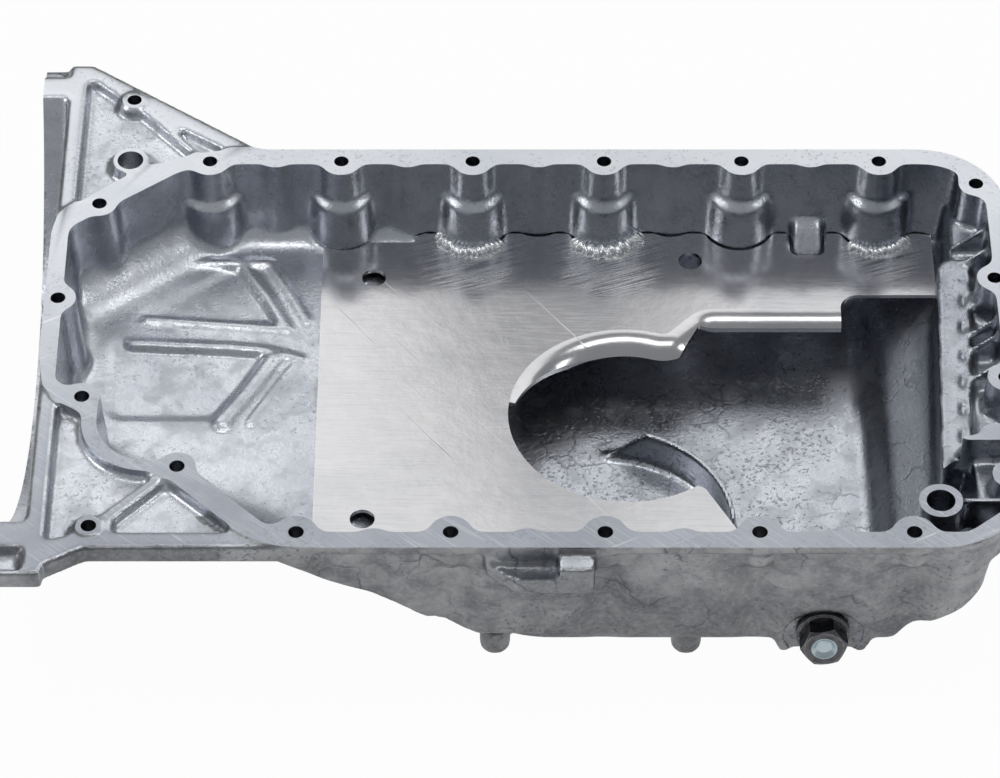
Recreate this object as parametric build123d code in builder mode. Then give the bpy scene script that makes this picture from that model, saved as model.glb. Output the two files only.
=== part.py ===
from build123d import *
import math
import os

# An engine oil pan: a cast body, a sheet baffle welded inside it, and its drain plug.
# X runs from the gearbox face to the timing end, Y across the engine and Z up.
# The half-ring of the gearbox flange touches Z = 0 and the sealing rail is the top.

# Overall sizes, in millimetres
pan_length = 464.0
rail_z = 95.0
rail_back_y = 104.6
rail_front_y = -151.0
crank_y = 4.0
flange_thickness = 6.0
wall = 5.0
draft = 4.0

gearbox_x = -pan_length / 2
timing_x = pan_length / 2

# Rail bolts, M6 through holes in round bosses
bolt_hole = 7.0
boss_radius = 8.0
lobe_end = 8.4
boss_depth = 17.0
boss_rounding = 3.0
bolt_edge = 9.5
back_bolt_y = rail_back_y - 8.4
front_bolt_y = rail_front_y + 9.2
back_first_x = gearbox_x + 83.7
back_last_x = timing_x - 59.0
back_near_count = 4
back_pitch_far = 66.0
back_far_count = 2
back_pitch_near = (back_last_x - back_first_x - back_far_count * back_pitch_far) / (back_near_count - 1)
front_first_x = gearbox_x + 132.7
front_last_x = timing_x - 57.5
front_count = 5
front_pitch = (front_last_x - front_first_x) / (front_count - 1)
timing_bolt_x = timing_x - bolt_edge
timing_pitch = 64.2
timing_first_y = crank_y + 13.2
corner_bolt_back = (timing_x - 13.5, rail_back_y - 23.8)
corner_bolt_front = (timing_x - 12.0, timing_first_y - timing_pitch - 60.0)
crank_bolt_reach = 63.15
crank_bolt_x = gearbox_x + 32.4
crank_middle_x = gearbox_x + 17.1
step_bolt = (gearbox_x + 78.0, crank_y - 106.3)

back_bolts = [(back_first_x + back_pitch_near * i, back_bolt_y) for i in range(back_near_count)]
back_far_start = back_bolts[-1][0]
for i in range(back_far_count):
    back_bolts.append((back_far_start + back_pitch_far * (i + 1), back_bolt_y))
front_bolts = [(front_first_x + front_pitch * i, front_bolt_y) for i in range(front_count)]
timing_bolts = [(timing_bolt_x, timing_first_y), (timing_bolt_x, timing_first_y - timing_pitch)]
crank_bolts = [(crank_bolt_x, crank_y + crank_bolt_reach), (crank_bolt_x, crank_y - crank_bolt_reach)]
end_bolts = [*crank_bolts, (crank_middle_x, crank_y), step_bolt, corner_bolt_back, corner_bolt_front]
rail_bolts = [*back_bolts, *front_bolts, *timing_bolts, *end_bolts]

# Gussets between the rail and the gearbox flange
gusset_step = 0.5
gusset_thickness = 10.5
pocket_depth = 5.5
pocket_rounding = 0.8
gusset_back_y = crank_y + 162.1
gusset_front_y = crank_y - 164.5
gusset_hole_back = (gearbox_x + 44.9, crank_y + 135.6)
gusset_hole_front = (gearbox_x + 40.6, crank_y - 142.0)
starter_hole_at = (gearbox_x + 45.4, crank_y + 93.0)
starter_hole = 12.4
starter_ring = 9.4
starter_bridge = (14.0, 16.0)
starter_bridge_turn = 36.0
starter_bridge_at = (starter_hole_at[0] + 6.0, starter_hole_at[1] - 4.0)

# Gearbox flange, a half ring about the crank axis with a thin end wall behind it
ring_thickness = 12.0
ring_outer = 185.5
ring_width = 19.5
end_wall = 6.0
end_wall_step = 1.0
ring_centre_z = ring_outer
flange_bolt_hole = 10.5
flange_bolt_step = 24.0
flange_bolt_count = 5
lug_length = 22.0
lug_recess_depth = 4.0
lug_back_y = crank_y + 162.1
lug_front_y = crank_y - 170.1
lug_recess_back = (crank_y + 153.6, crank_y + 163.0)
lug_recess_front = (crank_y - 167.3, crank_y - 154.4)

# Depths inside, as heights above the half ring
sump_floor_z = 16.0
shallow_floor_z = 49.0
ledge_z = 74.0
column_top_z = 76.0
lobe_mouth = 9.5
lobe_column = 13.5
front_lobe = 10.8
channel_radius = 12.0
channel_sink = 4.3
channel_blend = 8.0
lobe_blend = 6.5
bay_bump = 2.3
bay_bump_radius = 10.0

# Hollows of the lower corners: their radii, how far inside the wall's line they stand,
# and how far their arcs dip below the floor
sump_corner = 19.0
sump_corner_inset = 3.0
back_corner = 17.0
crank_corner = 16.0
back_bowl = 30.0
front_bowl = 60.0
front_bowl_inset = -3.0
corner_dip = 0.9

# Baffle plate
plate_z = 50.0
plate_thickness = 2.0
plate_gap = 0.8
plate_left_x = gearbox_x + 137.3
keyhole_at = (50.0, -30.0)
keyhole_radius = 55.3
roll_radius = 15.0
roll_width = 12.0
roll_shift = 13.0
roll_channel_width = 9.5
channel_y = 39.0
neck_radius = 15.0
neck_foot_radius = 5.0
strip_radius = 9.0
roll_start = 172.0
roll_end = 69.0
channel_end_x = 154.0
strip_y = 48.4
plate_hole = 11.5
plate_holes = [(-69.7, 60.0), (-72.0, -95.7), (83.0, 71.6)]

# Drain plug, M14 x 1.5 with a 19 mm hexagon
thread_size = 14.0
thread_clearance = 0.1
plug_hex = 19.0
plug_head = 9.0
collar_size = 24.5
collar_thickness = 2.5
shank_length = 16.0
washer_size = 22.0
washer_thickness = 1.5
washer_clearance = 0.2
hex_chamfer = 1.2
dimple_radius = 5.5
dimple_depth = 1.6
dimple_floor = 3.5
thread_tip = 1.5
collar_edge = 0.6
hex_turn = 8.0

# Weld beads: where each starts and ends round its column, in degrees
bead_size = 6.5
bead_names = ["left", "middle", "right"]
bead_spans = [
    (back_bolts[2][0], 205.0, 310.0),
    (back_bolts[3][0], 225.0, 330.0),
    (back_bolts[5][0], 235.0, 325.0),
]
plug_tilt = 10.0
seat_at = Vector(138.0, -136.8, 21.7)
seat_radius = 18.0
seat_reach = 30.0
drain_boss_radius = 22.0
drain_boss_reach = 20.0
drain_boss_depth = 14.0

plug_axis = Vector(0, -math.cos(math.radians(plug_tilt)), math.sin(math.radians(plug_tilt)))


def outline(corners):
    """Closed outline through (x, y, radius) corners, each rounded by its radius."""
    return FilletPolyline(*[(x, y) for x, y, r in corners], radius=[r for x, y, r in corners], close=True)


def drain_plane(distance):
    """Plane across the drain plug's axis, a distance outwards from its seat."""
    return Plane(origin=seat_at + plug_axis * distance, x_dir=(1, 0, 0), z_dir=plug_axis)


# Outline of the sealing rail
rail_corners = [
    (timing_x, rail_back_y, 41),
    (gearbox_x + 77.5, rail_back_y, 90),
    (gearbox_x + 41.4, crank_y + 80.4, 60),
    (gearbox_x + 10.8, crank_y + 53.7, 26),
    (gearbox_x + 10.8, crank_y - 41.0, 40),
    (gearbox_x + 20.8, crank_y - 65.8, 10),
    (gearbox_x + 33.0, crank_y - 73.5, 5),
    (gearbox_x + 33.6, crank_y - 109.1, 31),
    (gearbox_x + 72.0, crank_y - 109.1, 8),
    (gearbox_x + 115.8, rail_front_y, 60),
    (timing_x, rail_front_y, 48),
]
with BuildSketch() as rail_outside:
    with BuildLine():
        outline(rail_corners)
    make_face()

# The same rail seen from inside, before the bolt lobes are cut into the opening
mouth_back_y = rail_back_y - 10.2
mouth_front_y = rail_front_y + 9.1
mouth_corners = [
    (timing_bolt_x, mouth_back_y, 30),
    (gearbox_x + 76.2, mouth_back_y, 40),
    (gearbox_x + 18.8, crank_y + 47.0, 10),
    (gearbox_x + 19.2, crank_y - 54.0, 6),
    (gearbox_x + 39.8, crank_y - 64.0, 4),
    (gearbox_x + 39.8, crank_y - 103.2, 26),
    (gearbox_x + 80.0, crank_y - 103.2, 5),
    (gearbox_x + 123.0, mouth_front_y, 20),
    (timing_x - 33.0, mouth_front_y, 10),
    (timing_bolt_x, mouth_front_y + 19.0, 12),
]
with BuildSketch() as mouth_plain:
    with BuildLine():
        outline(mouth_corners)
    make_face()


def lobed(back_radius, front_radius):
    """The opening with a rounded lobe left round every bolt."""
    with BuildSketch() as opening:
        add(mouth_plain.sketch)
        with Locations(*back_bolts):
            Circle(back_radius, mode=Mode.SUBTRACT)
        with Locations(*front_bolts):
            Circle(front_radius, mode=Mode.SUBTRACT)
        with Locations(*timing_bolts, *end_bolts):
            Circle(lobe_end, mode=Mode.SUBTRACT)
        for row, centre_y in ((back_bolts, bay_back_y), (front_bolts, bay_front_y)):
            with Locations(*[((a[0] + b[0]) / 2, centre_y) for a, b in zip(row, row[1:])]):
                Circle(bay_bump_radius, mode=Mode.SUBTRACT)
        offset(amount=-lobe_blend)
        offset(amount=lobe_blend)
    return opening.sketch


bay_back_y = mouth_back_y + bay_bump_radius - bay_bump
bay_front_y = mouth_front_y - bay_bump_radius + bay_bump
rail_opening = lobed(lobe_mouth, lobe_mouth)
column_opening = lobed(lobe_column, front_lobe)


def tapered_down(section, top_z, depth):
    """A block below a section at top_z, narrowing downwards with the casting draft."""
    with BuildPart() as block:
        with BuildSketch(Plane.XY.offset(-top_z)):
            add(section)
        extrude(amount=depth, taper=draft)
    return block.part.mirror(Plane.XY)


# Side profile of everything inside, as (x, z, radius) corners
ramp_x = gearbox_x + 144.0
knee_x = gearbox_x + 190.0
knee_drop = 6.0
sump_start_x = gearbox_x + 232.0
ramp_foot_x = sump_start_x - 18.0
ramp_foot_rise = 8.5
sump_end_x = timing_x - 68.0
beyond = 60.0
inside_corners = [
    (gearbox_x - beyond, rail_z + beyond, 0),
    (gearbox_x - beyond, shallow_floor_z, 0),
    (ramp_x, shallow_floor_z, 40),
    (knee_x, shallow_floor_z - knee_drop, 30),
    (ramp_foot_x, sump_floor_z + ramp_foot_rise, 12),
    (sump_start_x, sump_floor_z, 12),
    (sump_end_x, sump_floor_z, 10),
    (sump_end_x + 10.0, sump_floor_z + 15.0, 8),
    (sump_end_x + 26.0, sump_floor_z + 25.0, 10),
    (sump_end_x + 40.0, sump_floor_z + 36.0, 8),
    (sump_end_x + 42.0, ledge_z, 4),
    (timing_x + beyond, ledge_z + 3.0, 0),
    (timing_x + beyond, rail_z + beyond, 0),
]
with BuildSketch(Plane.XZ) as inside_profile:
    with BuildLine():
        outline(inside_corners)
    make_face()
with BuildSketch(Plane.XZ) as outside_profile:
    add(inside_profile.sketch)
    offset(amount=wall)

depth = rail_z - sump_floor_z

# The ramp's plane carried on upwards, where the hollow corners of the shallow end stop
ramp_slope = (shallow_floor_z - knee_drop - sump_floor_z - ramp_foot_rise) / (ramp_foot_x - knee_x)
with BuildPart() as ramp_space:
    with BuildSketch(Plane.XZ):
        with BuildLine():
            Polyline(
                (ramp_foot_x - (rail_z - sump_floor_z - ramp_foot_rise) / ramp_slope, rail_z),
                (ramp_foot_x, sump_floor_z + ramp_foot_rise),
                (timing_x + beyond, sump_floor_z + ramp_foot_rise),
                (timing_x + beyond, rail_z),
                close=True,
            )
        make_face()
    extrude(amount=pan_length, both=True)


def corner_bar(start, end, floor_z, radius, inset, growth):
    """What a rounded hollow leaves solid between the floor and a wall from start to end."""
    along = (Vector(*end[:2]) - Vector(*start[:2])).normalized()
    outwards = along.cross(Vector(0, 0, 1))
    foot = Vector(*start[:2]) - outwards * inset + Vector(0, 0, floor_z)
    with BuildPart() as bar:
        with BuildSketch(Plane(origin=foot, x_dir=outwards, z_dir=-along)):
            Rectangle(radius + beyond, 2 * radius)
            with Locations((-radius, radius - corner_dip)):
                Circle(radius + growth, mode=Mode.SUBTRACT)
            with Locations((-radius - beyond, 0)):
                Rectangle(2 * beyond, 4 * radius, mode=Mode.SUBTRACT)
        extrude(amount=2 * pan_length, both=True)
    return bar.part


def corner_bars(growth):
    """The solid corners of the shallow end, which stop at the ramp, and of the sump."""
    back_right, back_left, crank_back, crank_front = mouth_corners[:4]
    step_front, front_left, front_right = mouth_corners[5], mouth_corners[7], mouth_corners[8]
    with BuildPart() as shallow_bars:
        add(corner_bar(back_right, back_left, shallow_floor_z, back_corner, 0, growth))
        add(corner_bar(back_left, crank_back, shallow_floor_z, back_bowl, 0, growth))
        add(corner_bar(crank_back, crank_front, shallow_floor_z, crank_corner, 0, growth))
        add(corner_bar(step_front, front_left, shallow_floor_z, front_bowl, front_bowl_inset, growth))
        ramp_end = Location((-growth * math.hypot(1, ramp_slope) / ramp_slope, 0, 0))
        add(ramp_space.part.moved(ramp_end), mode=Mode.SUBTRACT)
    with BuildPart() as sump_bars:
        add(corner_bar(front_left, front_right, sump_floor_z, sump_corner, sump_corner_inset, growth))
        add(corner_bar(back_right, back_left, sump_floor_z, sump_corner, sump_corner_inset, growth))
    return [shallow_bars.part, sump_bars.part]


with BuildPart() as cavity:
    add(tapered_down(column_opening, rail_z, depth + 1.0))
    add(tapered_down(rail_opening, rail_z, rail_z - column_top_z))
    extrude(inside_profile.sketch, amount=rail_back_y - rail_front_y, both=True, mode=Mode.INTERSECT)
    add(corner_bars(0.0), mode=Mode.SUBTRACT)

# Outside, the wall follows the columns of the back row and has a shallow channel under each front bolt
channel_y_front = mouth_front_y - wall - channel_radius + channel_sink
with BuildSketch() as column_outside:
    add(mouth_plain.sketch)
    offset(amount=wall)
    with Locations(*back_bolts):
        Circle(lobe_column - wall, mode=Mode.SUBTRACT)
    with Locations(*[(x, channel_y_front) for x, y in front_bolts]):
        Circle(channel_radius, mode=Mode.SUBTRACT)
    offset(amount=-channel_blend)
    offset(amount=channel_blend)
with BuildSketch() as plain_outside:
    add(mouth_plain.sketch)
    offset(amount=wall)
    offset(amount=-channel_blend)
    offset(amount=channel_blend)

plain_block = tapered_down(plain_outside.sketch, rail_z, depth + wall)

# The drain boss fills the wall out to its plain face between the channels
with BuildPart() as drain_boss:
    with BuildSketch(drain_plane(-wall)):
        Circle(drain_boss_radius)
    extrude(amount=drain_boss_reach)
    add(plain_block, mode=Mode.INTERSECT)

with BuildPart() as shell:
    add(tapered_down(column_outside.sketch, rail_z, depth + wall))
    add(tapered_down(plain_outside.sketch, rail_z, rail_z - column_top_z))
    extrude(outside_profile.sketch, amount=rail_back_y - rail_front_y, both=True, mode=Mode.INTERSECT)
    add(corner_bars(wall), mode=Mode.SUBTRACT)
    add(drain_boss.part)

with BuildPart() as bolt_boss:
    with BuildSketch(Plane.XY.offset(rail_z - boss_depth)):
        Circle(boss_radius)
    extrude(amount=boss_depth)
    fillet(bolt_boss.edges().group_by(Axis.Z)[0], boss_rounding)

# Gussets: two webs that carry the rail out to the gearbox flange, with pockets in their tops
gusset_top_z = rail_z - gusset_step
gusset_low_z = gusset_top_z - gusset_thickness
band_x = gearbox_x + 21.2
ring_x = gearbox_x + ring_thickness
gusset_back_corners = [
    (ring_x, gusset_back_y, 0),
    (gearbox_x + 23.3, gusset_back_y, 4),
    (gearbox_x + 109.0, rail_back_y, 0),
    (gearbox_x + 100.0, crank_y + 88.0, 0),
    (gearbox_x + 30.0, crank_y + 40.0, 0),
    (ring_x, crank_y + 40.0, 0),
]
gusset_front_corners = [
    (ring_x, gusset_front_y, 0),
    (gearbox_x + 22.5, gusset_front_y, 6),
    (gearbox_x + 39.0, rail_front_y, 6),
    (gearbox_x + 141.0, rail_front_y, 0),
    (gearbox_x + 118.0, crank_y - 138.0, 0),
    (gearbox_x + 60.0, crank_y - 95.0, 0),
    (gearbox_x + 30.0, crank_y - 40.0, 0),
    (ring_x, crank_y - 40.0, 0),
]
pocket_back_corners = [
    (band_x, gusset_back_y - 12.5, 2),
    (gearbox_x + 25.0, gusset_back_y - 12.5, 2),
    (gearbox_x + 49.0, crank_y + 127.5, 4),
    (gearbox_x + 75.5, crank_y + 97.5, 0),
    (gearbox_x + 60.0, crank_y + 80.0, 0),
    (band_x, crank_y + 40.0, 0),
]
sliver_corners = [
    (gearbox_x + 64.2, crank_y + 119.0, 0.8),
    (gearbox_x + 91.0, crank_y + 101.0, 0),
    (gearbox_x + 90.0, crank_y + 90.0, 0),
    (gearbox_x + 84.0, crank_y + 90.0, 0),
]
pocket_front_corners = [
    (band_x, crank_y - 40.0, 0),
    (band_x, crank_y - 149.4, 2),
    (gearbox_x + 34.0, crank_y - 145.0, 2),
    (gearbox_x + 47.0, crank_y - 132.0, 3),
    (gearbox_x + 66.0, crank_y - 112.5, 2),
    (gearbox_x + 60.0, crank_y - 95.0, 0),
]
triangle_corners = [
    (gearbox_x + 73.0, crank_y - 114.0, 2),
    (gearbox_x + 50.9, crank_y - 138.0, 2),
    (gearbox_x + 50.9, crank_y - 144.6, 2),
    (gearbox_x + 106.0, crank_y - 144.6, 2),
]

with BuildSketch() as gusset_outline:
    for corners in (gusset_back_corners, gusset_front_corners):
        with BuildLine():
            outline(corners)
        make_face()
    with Locations(((ring_x + band_x) / 2, crank_y)):
        Rectangle(band_x - ring_x, 2 * crank_bolt_reach)
    for y, inwards in ((lug_back_y, -1), (lug_front_y, 1)):
        with Locations(((gearbox_x + band_x) / 2, y + inwards * lug_length / 2)):
            Rectangle(band_x - gearbox_x, lug_length)

with BuildSketch() as gusset_pockets:
    for corners in (pocket_back_corners, sliver_corners, pocket_front_corners, triangle_corners):
        with BuildLine():
            outline(corners)
        make_face()
    add(rail_outside.sketch, mode=Mode.SUBTRACT)
    with Locations(gusset_hole_back, gusset_hole_front):
        Circle(boss_radius, mode=Mode.SUBTRACT)
    with Locations(starter_hole_at):
        Circle(starter_ring, mode=Mode.SUBTRACT)
    # A bridge ties the ring of the starter hole to the rail
    with Locations(starter_bridge_at):
        Rectangle(*starter_bridge, rotation=starter_bridge_turn, mode=Mode.SUBTRACT)
    offset(amount=-pocket_rounding)
    offset(amount=pocket_rounding)

# The gearbox flange seen along X: Y across and Z up
ring_plane = Plane(origin=(gearbox_x, crank_y, ring_centre_z), x_dir=(0, 1, 0), z_dir=(1, 0, 0))
above_ring = ring_centre_z - gusset_top_z


def half_disc(radius):
    """The part of a disc that lies below the top of the gussets."""
    Circle(radius)
    with Locations((0, radius * 2 - above_ring)):
        Rectangle(radius * 4, radius * 4, mode=Mode.SUBTRACT)


rib_ys = [crank_y - 64.0, crank_y, crank_y + 64.0]
rib_thickness = 5.0
rib_foot_z = 14.0
rib_top_z = shallow_floor_z + 20.0

# Legs that the body rests on beside the half ring
leg_radius = 7.25
leg_xs = [-11.3, 76.5]
leg_front_y = -127.0
leg_back_y = 78.0
leg_rounding = 3.0

# Bracket under the front rail
bracket_low_z = rail_z - 19.0
bracket_floor_z = rail_z - 11.5
bracket_block_z = rail_z - 3.5
bracket_front_y = rail_front_y - 10.7
bracket_left_x = -16.0
bracket_slant = 14.0
bracket_step_x = 16.5
bracket_right_x = 33.0
bracket_rim = 1.6

# Oil passage boss in the front corner at the timing end
passage_at = (timing_x - 44.5, rail_front_y + 28.0)
passage_radius = 10.0
passage_bore = 12.9
passage_depth = 30.0

# Low relief in the shallow floor: two sunk pads with a slanted ridge at the right of each
relief_depth = 1.6
relief_rise = 1.6
relief_taper = 30.0
relief_back_corners = [
    (gearbox_x + 92.0, crank_y + 65.0, 6),
    (gearbox_x + 98.0, crank_y + 69.0, 3),
    (gearbox_x + 122.0, crank_y + 29.0, 3),
    (gearbox_x + 38.0, crank_y + 26.0, 6),
]
relief_front_corners = [
    (gearbox_x + 38.0, crank_y + 15.0, 6),
    (gearbox_x + 116.0, crank_y + 11.0, 3),
    (gearbox_x + 94.0, crank_y - 34.0, 4),
    (gearbox_x + 38.0, crank_y - 34.0, 8),
]
relief_ridge_back = [
    (gearbox_x + 88.0, crank_y + 70.0, 1),
    (gearbox_x + 104.0, crank_y + 70.0, 1),
    (gearbox_x + 126.0, crank_y + 34.0, 3),
    (gearbox_x + 112.0, crank_y + 26.0, 3),
]
relief_ridge_front = [
    (gearbox_x + 106.0, crank_y + 12.0, 1),
    (gearbox_x + 124.0, crank_y + 5.0, 1),
    (gearbox_x + 99.0, crank_y - 38.0, 3),
    (gearbox_x + 86.0, crank_y - 32.0, 3),
]

# Ridge along the timing end, slanted in plan, with a pointed front end
ridge_low_z = 42.0
ridge_top_z = 80.0
groove_depth = 3.0
ridge_corners = [
    (timing_x - 33.5, crank_y + 42.0, 8),
    (timing_x - 17.0, crank_y + 42.0, 8),
    (timing_x - 25.5, crank_y - 76.0, 2),
    (timing_x - 41.0, crank_y - 96.0, 1),
]
groove_corners = [
    (timing_x - 23.4, crank_y + 30.0, 1),
    (timing_x - 20.8, crank_y + 30.0, 1),
    (timing_x - 28.5, crank_y - 78.0, 0.8),
    (timing_x - 31.1, crank_y - 78.0, 0.8),
]

web_corners = [
    (timing_x - 34.0, crank_y - 88.4, 0.5),
    (timing_x - 24.0, crank_y - 86.6, 2),
    (timing_x - 22.0, crank_y - 81.0, 2),
    (timing_bolt_x + 2.0, crank_y - 79.0, 0),
    (timing_bolt_x + 2.0, crank_y - 90.2, 0),
    (timing_x - 31.0, crank_y - 90.2, 0.5),
]
shelf_z = 81.0
shelf_corners = [
    (timing_x - 26.0, crank_y - 89.0, 0),
    (timing_bolt_x + 2.0, crank_y - 89.0, 0),
    (timing_bolt_x + 2.0, crank_y - 122.0, 0),
    (timing_x - 26.0, crank_y - 122.0, 4),
]
passage_foot_z = 30.0
passage_rib = 2.6
passage_rib_y = passage_at[1] + 4.0

pocket_rib_ys = [crank_y + 52.0, crank_y + 38.0, crank_y - 9.0, crank_y - 19.0, crank_y - 37.0]
pocket_rib_thickness = 2.4

# Fin on the sump floor
fin_start = (38.0, -24.0)
fin_middle = (82.0, -41.0)
fin_end = (99.0, -80.0)
fin_thickness = 3.0
fin_height = 21.0
fin_run_in = 22.0

nub_x = (back_bolts[-1][0] + back_bolts[-2][0]) / 2
nub_width = 15.0
nub_front_y = mouth_back_y - 18.0
nub_top_z = 62.0
nub_rounding = 3.0
nub_gap = 1.0
notch_rounding = 4.0

# The inner side of the drain boss, thick enough for the thread
with BuildPart() as thread_boss:
    with BuildSketch(drain_plane(-drain_boss_depth)):
        Circle(thread_size / 2 + wall)
    extrude(amount=drain_boss_depth)

# Bracket: a ledge with a raised block at its right end
with BuildPart() as bracket:
    with BuildSketch(Plane.XY.offset(bracket_low_z)):
        with BuildLine():
            outline([
                (bracket_left_x, rail_front_y + 12.0, 0),
                (bracket_left_x, rail_front_y, 1),
                (bracket_left_x + bracket_slant, bracket_front_y, 2),
                (bracket_right_x, bracket_front_y, 2),
                (bracket_right_x, rail_front_y + 12.0, 0),
            ])
        make_face()
    extrude(amount=bracket_block_z - bracket_low_z)
    with BuildSketch(Plane.XY.offset(bracket_floor_z)):
        with BuildLine():
            outline([
                (bracket_left_x + bracket_rim, rail_front_y, 0),
                (bracket_left_x + bracket_slant + 0.8, bracket_front_y + bracket_rim, 1),
                (bracket_step_x, bracket_front_y + bracket_rim, 1),
                (bracket_step_x, rail_front_y, 0),
            ])
        make_face()
    extrude(amount=bracket_block_z - bracket_floor_z, mode=Mode.SUBTRACT)
    with BuildSketch(Plane.XY.offset(bracket_floor_z + bracket_rim)):
        with BuildLine():
            Polyline(
                (bracket_left_x - 1.0, rail_front_y),
                (bracket_left_x - 1.0, bracket_front_y - 1.0),
                (bracket_step_x, bracket_front_y - 1.0),
                (bracket_step_x, rail_front_y),
                close=True,
            )
        make_face()
    extrude(amount=bracket_block_z - bracket_floor_z, mode=Mode.SUBTRACT)

# Gearbox flange, the end wall behind it and the ribs under the shallow end
with BuildPart() as gearbox_flange:
    with BuildSketch(ring_plane):
        half_disc(ring_outer)
        Circle(ring_outer - ring_width, mode=Mode.SUBTRACT)
    extrude(amount=ring_thickness)
    with BuildSketch(ring_plane.offset(ring_thickness)):
        half_disc(ring_outer - end_wall_step)
    extrude(amount=end_wall)
    # The ribs reach up into the hollow, which is cut out of them again
    for rib_y in rib_ys:
        with BuildSketch(Plane.XZ.offset(-rib_y)):
            with BuildLine():
                Polyline(
                    (ring_x, rib_top_z),
                    (ring_x, rib_foot_z),
                    (ring_x + end_wall, rib_foot_z),
                    (ramp_x - 20.0, shallow_floor_z - wall + 0.5),
                    (ramp_x - 20.0, rib_top_z),
                    close=True,
                )
            make_face()
        extrude(amount=rib_thickness / 2, both=True)

# Legs with rounded ends
with BuildPart() as leg:
    with BuildSketch(Plane.XY):
        Circle(leg_radius)
    extrude(amount=sump_floor_z - 1.0)
    fillet(leg.edges().group_by(Axis.Z)[0], leg_rounding)

# Ridge along the timing end
with BuildPart() as ridge:
    with BuildSketch(Plane.XY.offset(ridge_low_z)):
        with BuildLine():
            outline(ridge_corners)
        make_face()
    extrude(amount=ridge_top_z - ridge_low_z)
    with BuildSketch(Plane.XY.offset(ridge_top_z - groove_depth)):
        with BuildLine():
            outline(groove_corners)
        make_face()
    extrude(amount=groove_depth, mode=Mode.SUBTRACT)

# Web from the ridge to the rail, the shelf in front of it and the oil passage boss
with BuildPart() as front_corner:
    with BuildSketch(Plane.XY.offset(ledge_z - 2.0)):
        with BuildLine():
            outline(web_corners)
        make_face()
    extrude(amount=rail_z - ledge_z + 2.0)
    with BuildSketch(Plane.XY.offset(ledge_z - 2.0)):
        with BuildLine():
            outline(shelf_corners)
        make_face()
    extrude(amount=shelf_z - ledge_z + 2.0)
    with BuildSketch(Plane.XY.offset(passage_foot_z)):
        with Locations(passage_at):
            Circle(passage_radius)
    extrude(amount=rail_z - passage_foot_z)
    with BuildSketch(Plane.XY.offset(ledge_z - 2.0)):
        with Locations(((passage_at[0] + timing_bolt_x) / 2, passage_rib_y)):
            Rectangle(timing_bolt_x - passage_at[0], passage_rib)
    extrude(amount=rail_z - ledge_z - 1.0)

# Sloped ribs in the pockets between the timing end bolts
with BuildPart() as pocket_ribs:
    for pocket_rib_y in pocket_rib_ys:
        with BuildSketch(Plane.XZ.offset(-pocket_rib_y)):
            with BuildLine():
                Polyline(
                    (timing_x - 27.0, ledge_z - 2.0),
                    (timing_x - 27.0, ledge_z + 3.0),
                    (timing_bolt_x, rail_z - 3.0),
                    (timing_bolt_x + 3.0, rail_z - 3.0),
                    (timing_bolt_x + 3.0, ledge_z - 2.0),
                    close=True,
                )
            make_face()
        extrude(amount=pocket_rib_thickness / 2, both=True)

# Curved fin on the sump floor, rising from nothing at its start
with BuildPart() as fin:
    with BuildSketch(Plane.XY.offset(sump_floor_z - 1.0)):
        with BuildLine():
            fin_line = ThreePointArc(fin_start, fin_middle, fin_end)
            offset(fin_line, amount=fin_thickness / 2, side=Side.BOTH)
        make_face()
    extrude(amount=fin_height + 1.0)
    with BuildSketch(Plane.XZ):
        with BuildLine():
            Polyline(
                (fin_start[0] - 5.0, sump_floor_z - 0.5),
                (fin_start[0], sump_floor_z - 0.5),
                (fin_start[0] + fin_run_in, sump_floor_z + fin_height),
                (fin_start[0] + fin_run_in, sump_floor_z + fin_height + 5.0),
                (fin_start[0] - 5.0, sump_floor_z + fin_height + 5.0),
                close=True,
            )
        make_face()
    extrude(amount=-2 * fin_end[1], both=True, mode=Mode.SUBTRACT)

# Nub on the back wall that reaches through the notch of the baffle plate
with BuildPart() as nub:
    with BuildSketch(Plane.YZ.offset(nub_x - nub_width / 2)):
        with BuildLine():
            outline([
                (mouth_back_y + 2.0, nub_top_z, 0),
                (mouth_back_y - 7.0, nub_top_z, 4),
                (nub_front_y, plate_z, 3),
                (nub_front_y + 2.0, plate_z - 9.0, 3),
                (mouth_back_y + 2.0, plate_z - 16.0, 0),
            ])
        make_face()
    extrude(amount=nub_width)
    fillet(nub.edges().filter_by(Axis.X, reverse=True).group_by(Axis.Y)[0], nub_rounding)

# Low ridges in the relief of the shallow floor
with BuildPart() as relief_ridges:
    with BuildSketch(Plane.XY.offset(shallow_floor_z - 1.0)):
        for corners in (relief_ridge_back, relief_ridge_front):
            with BuildLine():
                outline(corners)
            make_face()
    extrude(amount=1.0 + relief_rise, taper=relief_taper)

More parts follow.
